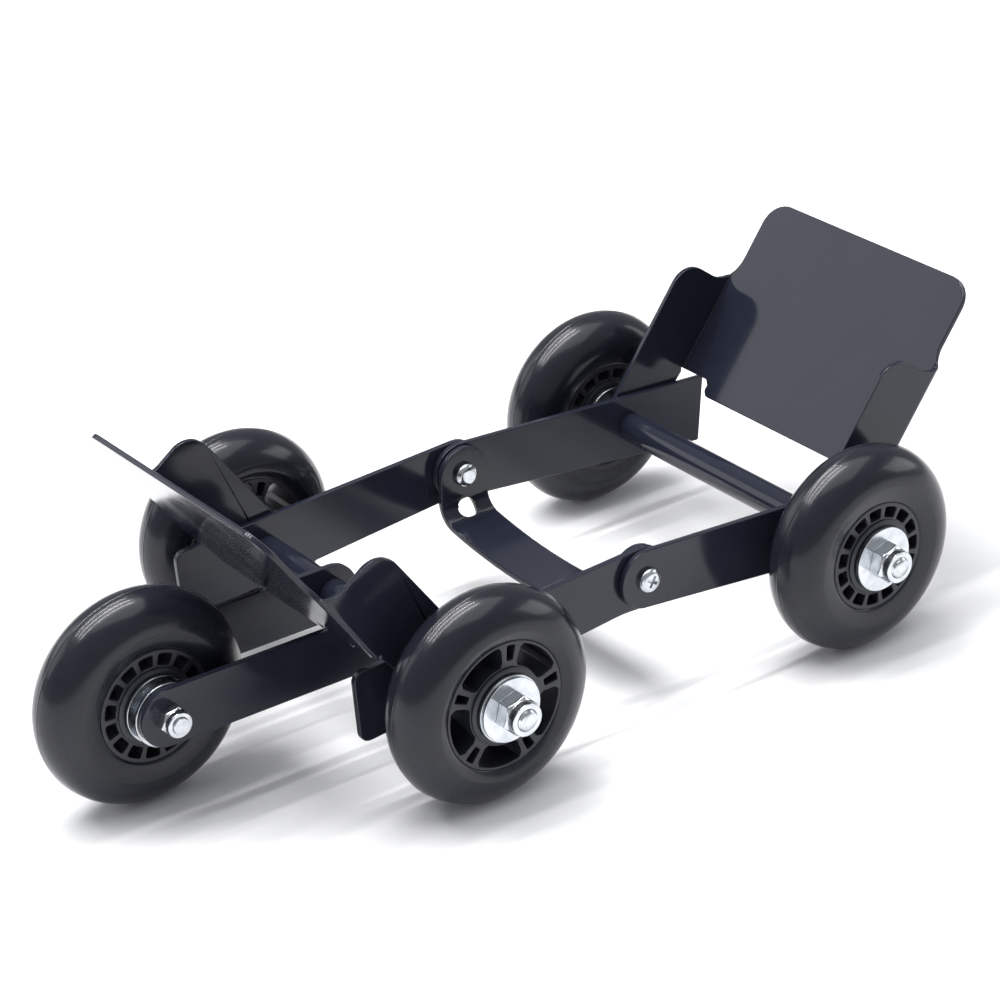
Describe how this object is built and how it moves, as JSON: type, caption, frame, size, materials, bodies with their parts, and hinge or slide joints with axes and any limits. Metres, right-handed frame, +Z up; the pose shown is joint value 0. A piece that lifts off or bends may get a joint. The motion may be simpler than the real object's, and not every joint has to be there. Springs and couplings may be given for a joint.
{
  "type": "wheel dolly",
  "caption": "Low tyre dolly: folded sheet trays at both ends of a hinged flat-bar frame on plain wheels, a saddle strap between them and a nose wheel in a fork.",
  "frame": {"origin": "on the floor, under the middle of the dolly's bounding box", "axes": "+X to the rear tray, away from the nose wheel; +Y to the far side; +Z up"},
  "size_m": [0.3794, 0.2056, 0.1172],
  "materials": {
    "black_paint": "gloss black powder coat on folded steel sheet and flat bar",
    "zinc_plate": "bright zinc plated steel hardware",
    "polyurethane_tyre": "cast polyurethane, smooth and slightly glossy, navy black",
    "core_plastic": "moulded nylon core, satin black",
    "bearing_steel": "ground bearing steel"
  },
  "bodies": {
    "rear_frame": {"near_rear_arm": "black_paint", "far_rear_arm": "black_paint", "rear_axle_rod": "zinc_plate", "rear_spacer_tube": "black_paint", "rear_wheel_nuts": "zinc_plate", "rear_wheel_washers": "zinc_plate", "rear_inner_spacers": "zinc_plate", "near_rear_bearing_inners": "bearing_steel", "far_rear_bearing_inners": "bearing_steel", "hinge_screws": "zinc_plate", "hinge_nuts": "zinc_plate", "hinge_washers": "zinc_plate"},
    "front_frame": {"near_front_arm": "black_paint", "far_front_arm": "black_paint", "front_axle_rod": "zinc_plate", "front_spacer_tubes": "black_paint", "front_wheel_nuts": "zinc_plate", "front_wheel_washers": "zinc_plate", "front_inner_spacers": "zinc_plate", "near_front_bearing_inners": "bearing_steel", "far_front_bearing_inners": "bearing_steel"},
    "nose_fork": {"near_fork_bar": "black_paint", "far_fork_bar": "black_paint", "nose_axle_bolt": "zinc_plate", "nose_wheel_nut": "zinc_plate", "nose_wheel_washers": "zinc_plate", "nose_spacer_bushes": "zinc_plate", "nose_bearing_inners": "bearing_steel"},
    "rear_tray_body": {"rear_tray": "black_paint"},
    "front_tray_body": {"front_tray": "black_paint"},
    "strap_body": {"saddle_strap": "black_paint"},
    "nose_wheel": {"nose_tyre": "polyurethane_tyre", "nose_hub": "core_plastic", "nose_bearing_outers": "bearing_steel", "nose_ball_cages": "bearing_steel"},
    "near_front_wheel": {"near_front_tyre": "polyurethane_tyre", "near_front_hub": "core_plastic", "near_front_bearing_outers": "bearing_steel", "near_front_ball_cages": "bearing_steel"},
    "far_front_wheel": {"far_front_tyre": "polyurethane_tyre", "far_front_hub": "core_plastic", "far_front_bearing_outers": "bearing_steel", "far_front_ball_cages": "bearing_steel"},
    "near_rear_wheel": {"near_rear_tyre": "polyurethane_tyre", "near_rear_hub": "core_plastic", "near_rear_bearing_outers": "bearing_steel", "near_rear_ball_cages": "bearing_steel"},
    "far_rear_wheel": {"far_rear_tyre": "polyurethane_tyre", "far_rear_hub": "core_plastic", "far_rear_bearing_outers": "bearing_steel", "far_rear_ball_cages": "bearing_steel"}
  },
  "joints": [
    {"name": "centre_fold", "type": "hinge", "parent": "rear_frame", "child": "front_frame", "pos_m": [0.02976, 0, 0.0465], "axis": [0, 1, 0], "range_deg": [0, 98]},
    {"name": "front_tray_tilt", "type": "hinge", "parent": "front_frame", "child": "front_tray_body", "pos_m": [-0.05724, 0, 0.04], "axis": [0, 1, 0], "range_deg": [0, 25]},
    {"name": "rear_tray_tilt", "type": "hinge", "parent": "rear_frame", "child": "rear_tray_body", "pos_m": [0.11376, 0, 0.04], "axis": [0, -1, 0], "range_deg": [0, 25]},
    {"name": "nose_fork_swing", "type": "hinge", "parent": "front_frame", "child": "nose_fork", "pos_m": [-0.05724, 0, 0.04], "axis": [0, -1, 0], "range_deg": [0, 25]},
    {"name": "strap_swing", "type": "hinge", "parent": "rear_frame", "child": "strap_body", "pos_m": [0.02976, 0, 0.0465], "axis": [0, 1, 0], "range_deg": [-30, 30]},
    {"name": "nose_wheel_spin", "type": "hinge", "parent": "nose_fork", "child": "nose_wheel", "pos_m": [-0.14974, -0.004, 0.04], "axis": [0, 1, 0], "continuous": true},
    {"name": "near_front_wheel_spin", "type": "hinge", "parent": "front_frame", "child": "near_front_wheel", "pos_m": [-0.05724, -0.079, 0.04], "axis": [0, 1, 0], "continuous": true},
    {"name": "far_front_wheel_spin", "type": "hinge", "parent": "front_frame", "child": "far_front_wheel", "pos_m": [-0.05724, 0.079, 0.04], "axis": [0, 1, 0], "continuous": true},
    {"name": "near_rear_wheel_spin", "type": "hinge", "parent": "rear_frame", "child": "near_rear_wheel", "pos_m": [0.11376, -0.079, 0.04], "axis": [0, 1, 0], "continuous": true},
    {"name": "far_rear_wheel_spin", "type": "hinge", "parent": "rear_frame", "child": "far_rear_wheel", "pos_m": [0.11376, 0.079, 0.04], "axis": [0, 1, 0], "continuous": true}
  ]
}
